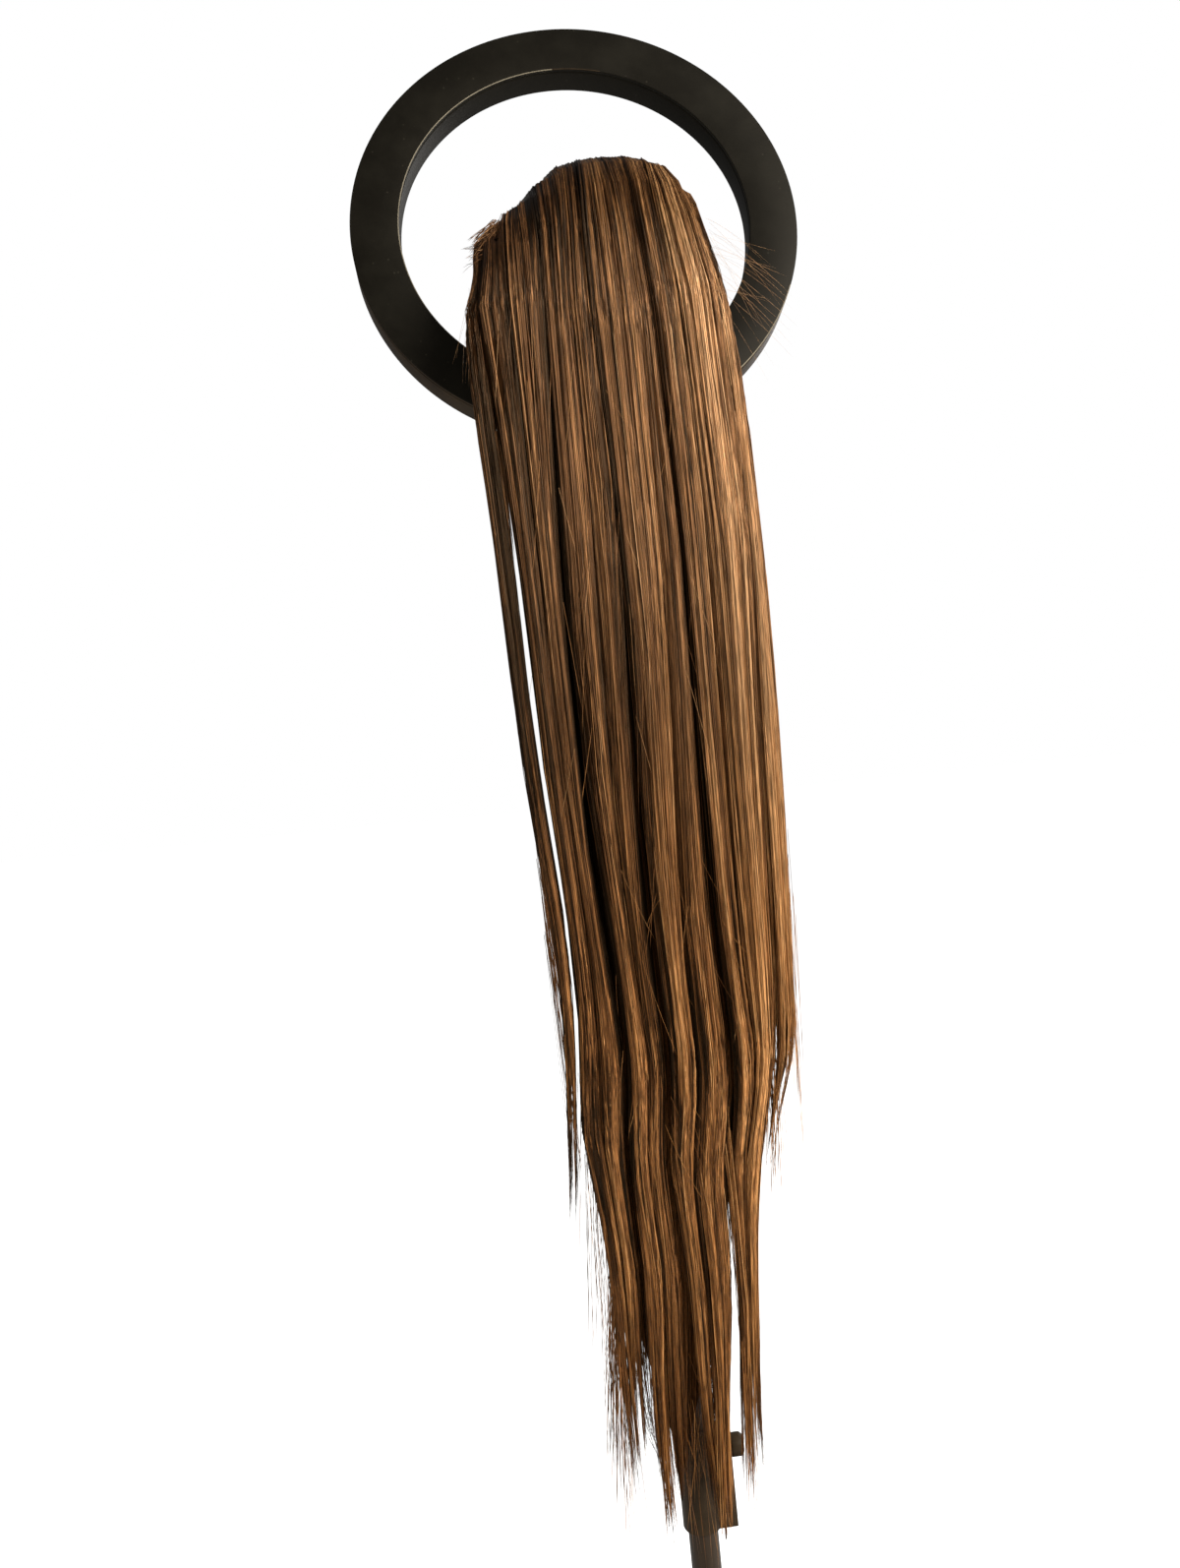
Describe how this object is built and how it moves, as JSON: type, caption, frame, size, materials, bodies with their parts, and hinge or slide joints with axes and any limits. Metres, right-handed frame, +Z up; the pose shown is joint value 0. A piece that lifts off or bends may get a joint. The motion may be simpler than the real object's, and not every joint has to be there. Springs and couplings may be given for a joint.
{
  "type": "clip-on ponytail on a ring stand",
  "caption": "Long straight brown clip-on ponytail of locks on a sewn cap, hung by its clip on the holder of a plain black ring stand with a telescopic pole and a round foot.",
  "frame": {"origin": "middle of the foot's underside, on the floor under the pole's axis", "axes": "+Z up along the pole, -Y towards the front, where the hair hangs, +X to the right as seen from the front"},
  "size_m": [0.26, 0.25, 1.0292],
  "materials": {
    "hair_fibre": "straight synthetic hair with a soft sheen, brown with lighter streaks",
    "clip_plastic": "dark brown moulded plastic",
    "stand_plastic": "matte black moulded plastic with light scuffs",
    "pole_paint": "satin black paint on steel tube",
    "foot_paint": "matte black paint"
  },
  "bodies": {
    "root": {"hair": "hair_fibre", "clip": "clip_plastic", "stand_ring": "stand_plastic", "stand_holder": "stand_plastic", "stand_neck": "stand_plastic", "stand_pole": "pole_paint", "stand_collar": "stand_plastic", "stand_knob": "stand_plastic", "stand_sleeve": "pole_paint", "stand_foot": "foot_paint"}
  },
  "joints": []
}
